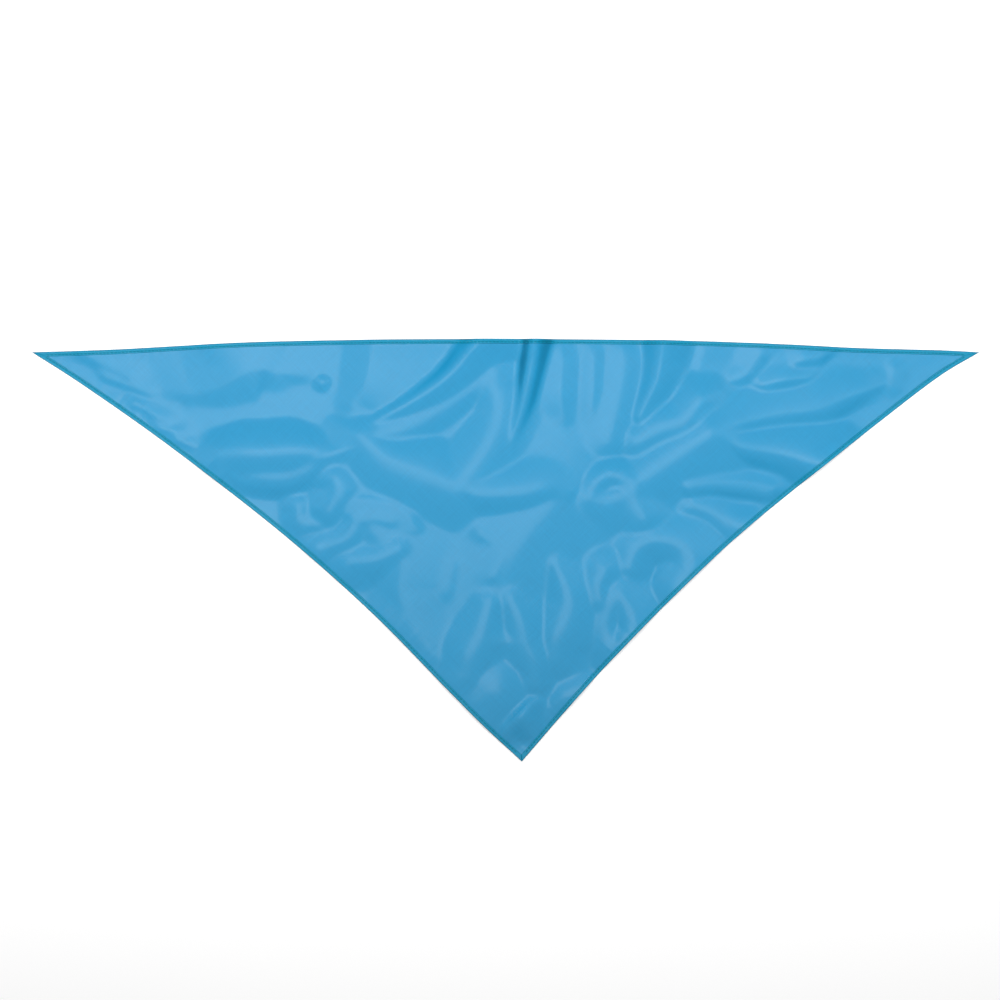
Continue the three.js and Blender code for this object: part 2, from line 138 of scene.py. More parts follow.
# How far a corner draws back along both edges for each metre of inset.
def cornerCut(first, firstEnd, second, secondEnd):
    runs = []
    for edge, end in ((first, firstEnd), (second, secondEnd)):
        away = lineMaking["cornerShare"]
        near, far = alongEdge(edge, [end, away if end == 0 else 1 - away], 0)
        runs.append((far - near) / np.hypot(*(far - near)))
    angle = math.acos(float(runs[0] @ runs[1]))
    return 1 / math.tan(angle / 2)


cuts = {
    "leftTip": cornerCut(edges["long"], 0, edges["left"], 0),
    "rightTip": cornerCut(edges["long"], 1, edges["right"], 0),
    "point": cornerCut(edges["left"], 1, edges["right"], 1),
}
cornersOf = {"long": ("leftTip", "rightTip"), "left": ("leftTip", "point"), "right": ("rightTip", "point")}


def insetEdge(name, shares, inset):  # an edge moved inwards and cut off at its two mitres
    edge = edges[name]
    start, end = [cuts[corner] * inset / edge["length"] for corner in cornersOf[name]]
    return alongEdge(edge, start + np.asarray(shares, float) * (1 - start - end), inset)


def nearestOnEdge(name, places):  # distance to an edge, and how far along it, in metres
    edge = edges[name]
    shares = np.linspace(0, 1, lineMaking["checks"])
    line = alongEdge(edge, shares, 0)
    best = np.full(len(places), np.inf)
    along = np.zeros(len(places))
    for i, (start, end) in enumerate(zip(line, line[1:])):
        run = end - start
        share = np.clip((places - start) @ run / (run @ run), 0, 1)
        distance = np.hypot(*(places - start - share[:, None] * run).T)
        closer = distance < best
        best[closer] = distance[closer]
        along[closer] = ((i + share) / (len(line) - 1) * edge["length"])[closer]
    return best, along


print("outline laid out")


# Folds: each is a crest that runs through the listed places, and falls away on both sides.
# across and down are shares of the camera's picture, from its left and its top.
# height, round and reach are in drape's unit. slope is the fall on the left and right of the crest's run,
# and further out than reach the cloth falls more steeply.
folds = [
    # The tall pleat that comes down from the middle of the long edge.
    dict(across=[0.536, 0.532, 0.528, 0.522, 0.512, 0.504], down=[0.330, 0.360, 0.382, 0.408, 0.442, 0.470],
         height=[1.3, 1.05, 0.88, 0.66, 0.38, 0.15], round=0.5, slope=[0.7, 0.85]),
    # The slanting fold to its left.
    dict(across=[0.490, 0.468, 0.445, 0.416, 0.388, 0.370], down=[0.330, 0.354, 0.378, 0.398, 0.414, 0.424],
         height=[1.0, 0.82, 0.64, 0.52, 0.42, 0.3], round=0.5, slope=[0.22, 0.6]),
    # The three-cornered tent under them: its right, upper and lower ridge.
    dict(across=[0.495, 0.493, 0.499, 0.499, 0.492, 0.479, 0.463],
         down=[0.372, 0.384, 0.400, 0.416, 0.437, 0.460, 0.482],
         height=[0.36, 0.38, 0.42, 0.42, 0.5, 0.58, 0.64],
         round=[0.7, 0.9, 1.1, 1.1, 1.1, 1.1, 1.1], slope=[0.12, 0.2]),
    dict(across=[0.493, 0.471, 0.436, 0.402, 0.362], down=[0.373, 0.388, 0.409, 0.427, 0.438],
         height=[0.36, 0.3, 0.28, 0.36, 0.48], round=[0.7, 0.7, 1.3, 1.2, 0.8], slope=[0.2, 0.2]),
    dict(across=[0.362, 0.386, 0.418, 0.455], down=[0.438, 0.460, 0.473, 0.488],
         height=[0.54, 0.64, 0.7, 0.68], round=[0.7, 1.0, 1.3, 1.0], slope=[0.2, 0.13]),
    # The level ridge from the tent to the middle.
    dict(across=[0.462, 0.480, 0.520, 0.545, 0.563], down=[0.486, 0.494, 0.493, 0.488, 0.493],
         height=[0.66, 0.66, 0.66, 0.6, 0.46], round=[1.0, 1.0, 1.1, 1.2, 1.1], slope=[0.17, 0.26]),
    # The long level ridge of the left half, and the step below it.
    dict(across=[0.224, 0.245, 0.263, 0.292, 0.314], down=[0.455, 0.453, 0.453, 0.451, 0.452],
         height=[0.62, 0.7, 0.7, 0.7, 0.54], round=[0.9, 1.1, 1.1, 1.1, 0.9], slope=[0.27, 0.2]),
    dict(across=[0.244, 0.262, 0.285, 0.304, 0.316], down=[0.473, 0.477, 0.477, 0.470, 0.459],
         height=[0.43, 0.46, 0.46, 0.46, 0.46], round=0.5, slope=[0.02, 0.15], reach=1.0),
    # What joins that ridge to the tent.
    dict(across=[0.316, 0.338, 0.362], down=[0.458, 0.452, 0.442],
         height=[0.5, 0.44, 0.5], round=0.1, slope=[0.16, 0.13]),
    # The left edge lies on the surface, and the cloth rises from it to a low shoulder.
    dict(across=[0.352, 0.374, 0.402, 0.402, 0.410, 0.434], down=[0.504, 0.530, 0.562, 0.590, 0.620, 0.654],
         height=[0.36, 0.42, 0.46, 0.44, 0.4, 0.3], round=0.4, slope=[0.05, 0.12]),
    # Short creases on it.
    dict(across=[0.335, 0.339, 0.329], down=[0.480, 0.492, 0.510],
         height=[0.5, 0.54, 0.5], round=[0.8, 1.2, 0.8], slope=[0.22, 0.22]),
    dict(across=[0.298, 0.301, 0.320], down=[0.508, 0.521, 0.525], height=0.3, round=0.6, slope=[0.2, 0.2]),
    dict(across=[0.321, 0.344, 0.355, 0.360], down=[0.547, 0.540, 0.525, 0.512],
         height=[0.4, 0.46, 0.46, 0.4], round=0.7, slope=[0.2, 0.2]),
    dict(across=[0.356, 0.376, 0.394, 0.410], down=[0.503, 0.503, 0.508, 0.518],
         height=0.42, round=0.3, slope=[0.17, 0.03], reach=1.6),
    dict(across=[0.358, 0.374, 0.390], down=[0.521, 0.519, 0.522], height=0.46, round=0.3,
         slope=[0.05, 0.17], reach=0.9),
    dict(across=[0.350, 0.375, 0.397], down=[0.562, 0.560, 0.550],
         height=[0.46, 0.56, 0.56], round=0.7, slope=[0.2, 0.2]),
    # The low folds above the point.
    dict(across=[0.489, 0.480, 0.471, 0.467], down=[0.606, 0.637, 0.656, 0.674],
         height=[0.6, 0.7, 0.72, 0.66], round=[0.8, 1.1, 1.2, 1.1], slope=[0.2, 0.2]),
    dict(across=[0.511, 0.520, 0.526, 0.534, 0.535], down=[0.600, 0.620, 0.645, 0.662, 0.680],
         height=[0.56, 0.62, 0.62, 0.6, 0.5], round=[0.7, 0.9, 1.0, 1.0, 0.8], slope=[0.2, 0.2]),
    dict(across=[0.490, 0.508, 0.524], down=[0.641, 0.642, 0.643],
         height=[0.62, 0.5, 0.58], round=0.6, slope=[0.2, 0.2]),
    dict(across=[0.494], down=[0.692], height=0.66, round=2.2, slope=[0.19, 0.19]),
    dict(across=[0.506, 0.520, 0.531], down=[0.727, 0.716, 0.703],
         height=[0.5, 0.8, 0.6], round=0.3, slope=[0.7, 0.28]),
    dict(across=[0.550, 0.564, 0.580], down=[0.708, 0.697, 0.690],
         height=[0.25, 0.42, 0.42], round=[0.6, 0.9, 1.0], slope=[0.28, 0.2]),
    # The shoulder from which the lower right part falls away to the right edge.
    dict(across=[0.550, 0.530, 0.514, 0.500, 0.489], down=[0.508, 0.530, 0.552, 0.580, 0.606],
         height=[0.46, 0.5, 0.5, 0.44, 0.38], round=0.4, slope=[0.065, 0.05]),
    # Small dents in the level part left of it.
    dict(across=[0.482, 0.494], down=[0.534, 0.543], height=0.42, round=0.3, slope=[0.12, 0.14]),
    dict(across=[0.504, 0.494], down=[0.556, 0.576], height=0.5, round=0.2, slope=[0.15, 0.1]),
    dict(across=[0.452, 0.446], down=[0.566, 0.590], height=0.3, round=0.3, slope=[0.1, 0.08]),
    # The broad wedge right of the tall pleat: gentle one-sided swells between its bright columns.
    dict(across=[0.563, 0.561, 0.564], down=[0.362, 0.392, 0.418],
         height=[0.26, 0.28, 0.14], round=0.3, slope=[0.14, 0.09]),
    dict(across=[0.594, 0.593, 0.591], down=[0.358, 0.392, 0.420],
         height=[0.2, 0.22, 0.12], round=0.3, slope=[0.14, 0.12]),
    dict(across=[0.626, 0.619, 0.610], down=[0.362, 0.400, 0.438],
         height=[0.26, 0.26, 0.26], round=[0.9, 0.9, 1.2], slope=[0.2, 0.12]),
    # The two upright folds of the right half.
    dict(across=[0.664, 0.661, 0.657, 0.648, 0.640], down=[0.332, 0.360, 0.380, 0.400, 0.416],
         height=[0.95, 0.8, 0.66, 0.46, 0.3], round=0.5, slope=[0.3, 0.5]),
    dict(across=[0.706, 0.700, 0.698, 0.699], down=[0.345, 0.362, 0.376, 0.388],
         height=0.15, round=0.1, slope=[0.03, 0.12]),
    # The slanting folds that meet them, with the small ring at their lower end.
    dict(across=[0.640, 0.662, 0.686, 0.702], down=[0.441, 0.429, 0.421, 0.400],
         height=[0.32, 0.45, 0.58, 0.62], round=[0.8, 1.1, 1.0, 0.6], slope=[0.2, 0.2]),
    dict(across=[0.636, 0.652, 0.680, 0.712], down=[0.485, 0.474, 0.455, 0.434],
         height=[0.42, 0.48, 0.6, 0.75], round=[0.8, 1.0, 1.1, 0.8], slope=[0.2, 0.14]),
    dict(across=[0.590, 0.606, 0.623, 0.636], down=[0.497, 0.501, 0.496, 0.487],
         height=[0.42, 0.42, 0.44, 0.46], round=0.8, slope=[0.22, 0.13]),
    dict(across=[0.590, 0.596, 0.609, 0.624, 0.636], down=[0.497, 0.484, 0.475, 0.478, 0.487],
         height=[0.42, 0.42, 0.42, 0.44, 0.46], round=0.8, slope=[0.3, 0.22]),
    dict(across=[0.637, 0.636, 0.645], down=[0.486, 0.500, 0.517],
         height=[0.46, 0.46, 0.5], round=[1.0, 1.3, 0.9], slope=[0.2, 0.2]),
    # The two arms that run out towards the right edge, with a low step and a short fold below them.
    dict(across=[0.712, 0.752, 0.787, 0.820, 0.842, 0.864, 0.882],
         down=[0.434, 0.421, 0.414, 0.409, 0.399, 0.391, 0.384],
         height=[0.7, 0.5, 0.5, 0.56, 0.48, 0.36, 0.2],
         round=[0.5, 0.5, 0.7, 0.8, 0.7, 0.4, 0.4], slope=[0.13, 0.4]),
    dict(across=[0.712, 0.728, 0.742, 0.757, 0.780, 0.812, 0.825],
         down=[0.434, 0.439, 0.447, 0.450, 0.453, 0.461, 0.466],
         height=[0.7, 0.64, 0.66, 0.68, 0.76, 0.98, 1.05],
         round=[0.6, 0.7, 0.7, 0.8, 1.1, 1.1, 0.8], slope=[0.22, 0.45]),
    dict(across=[0.690, 0.712, 0.740, 0.768], down=[0.488, 0.485, 0.487, 0.491],
         height=0.38, round=0.5, slope=[0.05, 0.3], reach=0.6),
    dict(across=[0.693, 0.712, 0.727, 0.745], down=[0.505, 0.511, 0.520, 0.527],
         height=[0.24, 0.32, 0.4, 0.48], round=0.7, slope=[0.24, 0.18]),
    # Short folds towards the right tip.
    dict(across=[0.736, 0.750, 0.763], down=[0.380, 0.372, 0.354],
         height=[0.2, 0.3, 0.3], round=0.5, slope=[0.12, 0.36]),
    dict(across=[0.788, 0.802, 0.818], down=[0.366, 0.362, 0.359],
         height=[0.25, 0.45, 0.4], round=0.3, slope=[0.12, 0.5]),
    dict(across=[0.764, 0.785, 0.807], down=[0.386, 0.381, 0.378],
         height=[0.3, 0.44, 0.4], round=0.3, slope=[0.12, 0.5]),
    dict(across=[0.776, 0.806], down=[0.402, 0.396], height=[0.2, 0.4], round=0.2, slope=[0.12, 0.45]),
    dict(across=[0.873, 0.868], down=[0.379, 0.388], height=0.22, round=0.4, slope=[0.16, 0.16]),
    dict(across=[0.896, 0.892], down=[0.372, 0.384], height=0.22, round=0.4, slope=[0.18, 0.18]),
    # The long low fold above the right edge, with the ring and the arch beside it.
    dict(across=[0.556, 0.567, 0.570, 0.565, 0.558, 0.555], down=[0.565, 0.590, 0.606, 0.624, 0.640, 0.656],
         height=[0.4, 0.55, 0.6, 0.62, 0.6, 0.52], round=[0.5, 0.9, 1.3, 1.4, 1.1, 0.8], slope=[0.16, 0.24]),
    dict(across=[0.621, 0.632, 0.633, 0.614, 0.606, 0.612, 0.621],
         down=[0.596, 0.612, 0.632, 0.646, 0.628, 0.606, 0.596],
         height=[0.55, 0.62, 0.62, 0.5, 0.45, 0.5, 0.55], round=0.9, slope=[0.2, 0.2]),
    dict(across=[0.630, 0.637, 0.652, 0.672, 0.689, 0.692, 0.680],
         down=[0.567, 0.550, 0.541, 0.542, 0.551, 0.566, 0.586],
         height=[0.42, 0.42, 0.46, 0.55, 0.66, 0.68, 0.62],
         round=[0.7, 0.7, 0.7, 0.8, 1.3, 1.3, 1.0], slope=[0.2, 0.2]),
    dict(across=[0.605, 0.599, 0.600], down=[0.572, 0.585, 0.600], height=0.5, round=0.7, slope=[0.2, 0.2]),
    # Low folds near the long edge, in the left half.
    dict(across=[0.194, 0.222, 0.243, 0.262, 0.276], down=[0.394, 0.384, 0.371, 0.367, 0.372],
         height=[0.14, 0.3, 0.42, 0.36, 0.24], round=0.3, slope=[0.03, 0.12]),
    dict(across=[0.322], down=[0.382], height=0.2, round=0.3, slope=[0.24, 0.24]),
    dict(across=[0.374, 0.368, 0.354], down=[0.340, 0.380, 0.402],
         height=[0.42, 0.4, 0.24], round=0.3, slope=[0.05, 0.13]),
    # Small folds along the left tip.
    dict(across=[0.078, 0.130], down=[0.353, 0.378], height=[0.1, 0.14], round=0.2, slope=[0.07, 0.3]),
    dict(across=[0.104, 0.150], down=[0.376, 0.394], height=[0.14, 0.1], round=0.2, slope=[0.07, 0.3]),
    dict(across=[0.133, 0.147], down=[0.404, 0.409], height=0.12, round=0.2, slope=[0.1, 0.3]),
    dict(across=[0.150, 0.167], down=[0.413, 0.421], height=0.14, round=0.2, slope=[0.1, 0.3]),
    dict(across=[0.160, 0.182], down=[0.428, 0.434], height=0.14, round=0.2, slope=[0.1, 0.3]),
    dict(across=[0.175, 0.192], down=[0.438, 0.446], height=0.14, round=0.2, slope=[0.1, 0.3]),
]

drape = dict(
    unit=0.01,
    cell=0.0015,  # spacing of the grid on which the cloth's height is worked out
    margin=0.01,  # how far the grid goes past the outline
    crestSteps=6,
    turnSharpness=3,  # how quickly the slope changes over from one side of a crest to the other
    fallPastReach=0.15,
    blend=0.00025,  # how softly folds run into each other
    relaxings=4,  # how many times the cloth's height is evened out between neighbours
    hemRaise=0.0008,  # the hem holds the cloth's edge this far up
    edgeEase=0.026,  # and the cloth comes down from it over this distance
    lift=0.0003,  # the cloth's own stiffness keeps it this far off the surface
    noReach=100,  # the reach of a fold that names none
    largestPower=60,
    tiny=1e-7,
)


def crestOf(fold):  # the crest's places, with their heights and rounding
    middle, width = cameraView["middle"], cameraView["across"]
    count = len(fold["across"])
    knots = np.column_stack([
        middle[0] + (np.array(fold["across"]) - 0.5) * width,
        middle[1] - (np.array(fold["down"]) - 0.5) * width,
        np.broadcast_to(fold["height"], count) * drape["unit"],
        np.broadcast_to(fold["round"], count) * drape["unit"],
    ])
    return smoothLine(knots, drape["crestSteps"])


def foldHeights(crest, fold, east, north):  # a fold's own height over a grid
    left, right = fold["slope"]
    reach = fold.get("reach", drape["noReach"]) * drape["unit"]
    sharpness = drape["turnSharpness"]
    nearest = np.full(east.shape, np.inf)
    heights = np.zeros(east.shape)
    for start, end in zip(crest, crest[1:]):
        run = end[:2] - start[:2]
        length = np.hypot(*run)
        run = run / length
        awayEast, awayNorth = east - start[0], north - start[1]
        share = np.clip((awayEast * run[0] + awayNorth * run[1]) / length, 0, 1)
        distance = np.hypot(awayEast - share * length * run[0], awayNorth - share * length * run[1])
        side = awayNorth * run[0] - awayEast * run[1]  # above 0 on the left of the crest's run
        lean = np.tanh(sharpness * side / np.maximum(distance, drape["tiny"])) / math.tanh(sharpness)
        slope = (left + right) / 2 + (left - right) / 2 * lean
        top = start[3] + (end[3] - start[3]) * share
        pastReach = drape["fallPastReach"] * np.maximum(distance - reach, 0)
        fall = slope * (np.hypot(distance, top) - top) + pastReach
        closer = distance < nearest
        nearest[closer] = distance[closer]
        heights[closer] = (start[2] + (end[2] - start[2]) * share - fall)[closer]
    return heights


def drapedGrid():
    cell, margin = drape["cell"], drape["margin"]
    east = np.arange(leftTip[0] - margin, rightTip[0] + margin, cell)
    north = np.arange(point[1] - margin, tipLine + cut["longEdgeRise"] + margin, cell)
    joined = np.ones((len(north), len(east)))
    for fold in folds:
        crest = crestOf(fold)
        spread = crest[:, 2].max() / min(fold["slope"]) + crest[:, 3].max()
        columns = slice(*np.searchsorted(east, [crest[:, 0].min() - spread, crest[:, 0].max() + spread]))
        rows = slice(*np.searchsorted(north, [crest[:, 1].min() - spread, crest[:, 1].max() + spread]))
        heights = foldHeights(crest, fold, *np.meshgrid(east[columns], north[rows]))
        joined[rows, columns] += np.exp(np.minimum(heights / drape["blend"], drape["largestPower"]))
    heights = drape["blend"] * np.log(joined)
    for _ in range(drape["relaxings"]):
        for way in (0, 1):
            ahead, behind = np.roll(heights, 1, way), np.roll(heights, -1, way)
            heights = (ahead + 2 * heights + behind) / 4
    return east[0], north[0], heights


gridEast, gridNorth, gridHeights = drapedGrid()
print("folds laid,", len(folds), "of them, highest", round(gridHeights.max(), 4))


def onGrid(places):  # the grid's height at any places
    column = (places[:, 0] - gridEast) / drape["cell"]
    row = (places[:, 1] - gridNorth) / drape["cell"]
    left = np.clip(column.astype(int), 0, gridHeights.shape[1] - 2)
    lower = np.clip(row.astype(int), 0, gridHeights.shape[0] - 2)
    right, upper = column - left, row - lower
    low = gridHeights[lower, left] * (1 - right) + gridHeights[lower, left + 1] * right
    high = gridHeights[lower + 1, left] * (1 - right) + gridHeights[lower + 1, left + 1] * right
    return low * (1 - upper) + high * upper


def clothHeight(places):  # height of the cloth above the surface
    height = onGrid(places) + drape["lift"]
    toEdge = np.full(len(places), np.inf)
    for name in edges:
        distance, along = nearestOnEdge(name, places)
        toEdge = np.minimum(toEdge, distance)
        height += puckerHeight(name, distance, along)
    ease = np.clip(toEdge / drape["edgeEase"], 0, 1)
    return height + drape["hemRaise"] * (1 - ease * ease * (3 - 2 * ease))


# Puckers: small gathers that the hem's stitching pulls into the cloth, square to each edge.
puckers = dict(
    height=0.00028,
    reach=0.016,  # how far they run in from the edge
    spacing=0.0115,
)
# Each row: share of the way along the edge, how strong the puckers are there.
puckerStrength = {
    "long": [(0, 1), (0.1, 0.6), (0.3, 0.35), (0.5, 0.4), (0.75, 0.35), (0.93, 0.5), (1, 1)],
    "left": [(0, 1), (0.1, 1.3), (0.2, 2.5), (0.3, 2.7), (0.4, 1.7), (0.55, 1.2), (0.8, 1), (1, 1.3)],
    "right": [(0, 1), (0.2, 0.5), (0.4, 0.5), (0.6, 0.6), (0.8, 0.8), (1, 1)],
}


def puckerHeight(name, distance, along):
    length = edges[name]["length"]
    shares, strengths = zip(*puckerStrength[name])
    strength = np.interp(along / length, shares, strengths)
    turn = 2 * math.pi * along / puckers["spacing"]
    wander = 1.9 * np.sin(turn * 0.173 + 1.1) + 1.3 * np.sin(turn * 0.411 + 0.4)
    swell = 0.55 + 0.45 * np.sin(turn * 0.093 + 2.0)
    reach = puckers["reach"] * (0.6 + 0.5 * np.sin(turn * 0.29 + 0.7) ** 2)
    fade = np.exp(-(distance / reach) ** 2)
    return puckers["height"] * strength * swell * (1 + np.sin(turn + wander)) / 2 * fade


def linkMesh(name, vertices, faces):
    mesh = bpy.data.meshes.new(name)
    mesh.from_pydata(vertices.tolist(), [], faces)
    mesh.update()
    piece = bpy.data.objects.new(name, mesh)
    bpy.context.collection.objects.link(piece)
    return piece


def applyModifier(piece, kind, **values):
    bpy.ops.object.select_all(action="DESELECT")
    piece.select_set(True)
    bpy.context.view_layer.objects.active = piece
    modifier = piece.modifiers.new(kind.lower(), kind)
    for name, value in values.items():
        setattr(modifier, name, value)
    bpy.ops.object.modifier_apply(modifier=modifier.name)


def shadeSmooth(piece):
    piece.data.polygons.foreach_set("use_smooth", [True] * len(piece.data.polygons))
    piece.data.update()


def setUv(piece, perVertex):  # a flat map in metres, from one pair of numbers for each vertex
    layer = piece.data.uv_layers.new(name="flat")
    corner = np.zeros(len(piece.data.loops), np.int32)
    piece.data.loops.foreach_get("vertex_index", corner)
    layer.data.foreach_set("uv", perVertex[corner].astype(np.float32).ravel())


# Cloth: rows of places from the long edge down to the point, each row two places shorter than the last.
clothSheet = dict(
    rows=221,
    inset=0.0012,  # the cloth's own edge lies this far inside the hem's
    thickness=0.00032,
)


def clothPlaces():
    rows = clothSheet["rows"]
    inset = clothSheet["inset"]
    long = insetEdge("long", np.linspace(0, 1, 2 * rows + 1), inset)
    left = insetEdge("left", np.linspace(0, 1, rows + 1), inset)
    right = insetEdge("right", np.linspace(0, 1, rows + 1), inset)
    left[0], right[0], right[-1] = long[0], long[-1], left[-1]
    longShares = np.linspace(0, 1, 2 * rows + 1)
    bulge = long - (long[0] + longShares[:, None] * (long[-1] - long[0]))
    places, starts = [], []
    for row in range(rows + 1):
        pieces = 2 * (rows - row)
        share = np.linspace(0, 1, pieces + 1)[:, None] if pieces else np.zeros((1, 1))
        line = left[row] + share * (right[row] - left[row])
        keep = (1 - row / rows) ** 2  # how much of the long edge's rise is left in this row
        rise = np.column_stack([np.interp(share[:, 0], longShares, bulge[:, k]) for k in (0, 1)])
        starts.append(sum(len(part) for part in places))
        places.append(line + keep * rise)
    return np.vstack(places), starts


def makeCloth():
    places, starts = clothPlaces()
    rows = clothSheet["rows"]
    faces = []
    for row in range(rows):
        upper, lower = starts[row], starts[row + 1]
        count = 2 * (rows - row - 1) + 1
        faces.append((upper, lower, upper + 1))
        for i in range(count - 1):
            faces.append((upper + i + 1, lower + i, lower + i + 1))
            faces.append((upper + i + 1, lower + i + 1, upper + i + 2))
        faces.append((upper + count, lower + count - 1, upper + count + 1))
    height = clothHeight(places)
    piece = linkMesh("satinCloth", np.column_stack([places, height]), faces)
    setUv(piece, places)
    applyModifier(piece, "SOLIDIFY", thickness=clothSheet["thickness"], offset=1)
    shadeSmooth(piece)
    return piece


cloth = makeCloth()
highest = max(vertex.co.z for vertex in cloth.data.vertices)
print("cloth made,", len(cloth.data.polygons), "faces, highest", round(highest, 4))

# Hems: the cloth's edge turned round and sewn down. Each place of the section is how far in from
# the outline it lies, and how high above the cloth's lower face.
hem = dict(
    station=0.00125,  # distance between two sections
    stitchInset=0.0034,
    stitchDip=0.00022,  # how far the thread pulls the hem down
    dipReach=0.0008,  # and over what width
    topFrom=0.0005,  # the section's places above this height are on the hem's top
    stitchHeight=0.00086,  # the hem's top where it is sewn
)
hemSection = [
    (0.0048, -0.0003),
    (0.0024, -0.0004),
    (0.0008, -0.00036),
    (0.0002, -0.0001),
    (0, 0.0003),
    (0.00015, 0.0007),
    (0.0006, 0.001),
    (0.0014, 0.00112),
    (0.0023, 0.00108),
    (0.0030, 0.00094),
    (0.0034, 0.00086),
    (0.0038, 0.0009),
    (0.0045, 0.00092),
    (0.0050, 0.00076),
    (0.0051, 0.00056),
    (0.0048, 0.00042),
    (0.0013, 0.00042),
    (0.0010, 0.0002),
    (0.0013, -0.00008),
    (0.0048, -0.00008),
]


def hemPlaces(name):
    count = round(edges[name]["length"] / hem["station"])
    shares = np.linspace(0, 1, count + 1)
    along = shares * edges[name]["length"]
    beat = np.cos(2 * math.pi * along / stitches["pitch"])
    rings = []
    for inset, height in hemSection:
        places = insetEdge(name, shares, inset)
        near = math.exp(-(((inset - hem["stitchInset"]) / hem["dipReach"]) ** 2))
        dip = hem["stitchDip"] * near * (0.5 - 0.5 * beat) if height > hem["topFrom"] else 0
        heights = clothHeight(places) + height - dip
        rings.append(np.column_stack([places, heights, along, np.full(count + 1, inset)]))
    return np.stack(rings, axis=1)  # station, place in the section, then x y z and the map's two numbers


def makeHem(name):
    rings = hemPlaces(name)
    count, size = rings.shape[:2]
    faces = []
    for i in range(count - 1):
        for j in range(size):
            k = (j + 1) % size
            face = (i * size + j, i * size + k, (i + 1) * size + k, (i + 1) * size + j)
            faces.append(face)
    faces.append(tuple(reversed(range(size))))
    faces.append(tuple((count - 1) * size + j for j in range(size)))
    if edges[name]["inwards"] == 1:
        faces = [tuple(reversed(face)) for face in faces]
    flat = rings.reshape(-1, 5)
    piece = linkMesh(name + "EdgeHem", flat[:, :3], faces)
    setUv(piece, flat[:, 3:])
    shadeSmooth(piece)
    return piece


# Stitches: one short thread is modelled and laid along each hem again and again.
stitches = dict(
    pitch=0.00405,
    length=0.0031,
    width=0.0009,
    arch=0.00012,
    proud=0.00012,  # how far the thread's middle stands above the hem
    flatness=0.8,  # share of the thread's height in its width
    sides=6,
    endsLeft=2,  # so many stitches are left out at the two ends of an edge
)


def oneStitch():
    bpy.ops.object.select_all(action="DESELECT")
    bpy.ops.mesh.primitive_uv_sphere_add(
        segments=stitches["sides"], ring_count=stitches["sides"], radius=0.5, rotation=(0, math.pi / 2, 0),
    )
    thread = bpy.context.object
    bpy.ops.object.transform_apply(location=False, rotation=True, scale=False)
    bpy.ops.object.mode_set(mode="EDIT")
    bpy.ops.mesh.select_all(action="SELECT")
    thickness = stitches["width"] * stitches["flatness"]
    bpy.ops.transform.resize(value=(stitches["length"], stitches["width"], thickness))
    bpy.ops.object.mode_set(mode="OBJECT")
    shape = np.array([v.co for v in thread.data.vertices])
    faces = [tuple(face.vertices) for face in thread.data.polygons]
    bpy.data.objects.remove(thread)
    shape[:, 2] += stitches["arch"] * (1 - (2 * shape[:, 0] / stitches["length"]) ** 2)
    return shape, faces


def makeStitches(name):
    shape, shapeFaces = oneStitch()
    length = edges[name]["length"]
    count = int(length / stitches["pitch"]) - stitches["endsLeft"]
    middles = (np.arange(count) + (stitches["endsLeft"] + 1) / 2) * stitches["pitch"]
    half = stitches["length"] / 2
    inset = hem["stitchInset"]
    starts, ends, places = [insetEdge(name, (middles + step) / length, inset) for step in (-half, half, 0)]
    top = hem["stitchHeight"] + stitches["proud"]
    starts, ends, places = [np.column_stack([p, clothHeight(p) + top]) for p in (starts, ends, places)]
    vertices, faces, maps = [], [], []
    for i in range(count):
        run = (ends[i] - starts[i]) / np.linalg.norm(ends[i] - starts[i])
        aside = np.cross([0, 0, 1], run)
        aside /= np.linalg.norm(aside)
        axes = np.array([run, aside, np.cross(run, aside)])
        vertices.append(shape @ axes + places[i])
        faces += [tuple(v + i * len(shape) for v in face) for face in shapeFaces]
        maps.append(shape[:, :2] + [middles[i], 0])
    piece = linkMesh(name + "EdgeStitches", np.vstack(vertices), faces)
    setUv(piece, np.vstack(maps))
    shadeSmooth(piece)
    return piece


hems = {name: makeHem(name) for name in edges}
print("hems turned")
threads = {name: makeStitches(name) for name in edges}
print("stitches sewn,", sum(len(piece.data.polygons) for piece in threads.values()), "faces")


# Materials

def group(name, inputs, outputs):
    tree = bpy.data.node_groups.new(name, "ShaderNodeTree")
    for label, kind in inputs:
        tree.interface.new_socket(label, in_out="INPUT", socket_type=kind)
    for label, kind in outputs:
        tree.interface.new_socket(label, in_out="OUTPUT", socket_type=kind)
    return tree, tree.nodes.new("NodeGroupInput"), tree.nodes.new("NodeGroupOutput")


def node(tree, kind, links=(), **values):  # adds a node, sets its values and links what is given into it
    made = tree.nodes.new(kind)
    for name, value in values.items():
        setattr(made, name, value)
    for socket, source in dict(links).items():
        if hasattr(source, "is_linked"):
            tree.links.new(source, made.inputs[socket])
        else:
            made.inputs[socket].default_value = source
    return made


def maths(tree, operation, first, second=0.0):
    return node(tree, "ShaderNodeMath", {0: first, 1: second}, operation=operation).outputs[0]


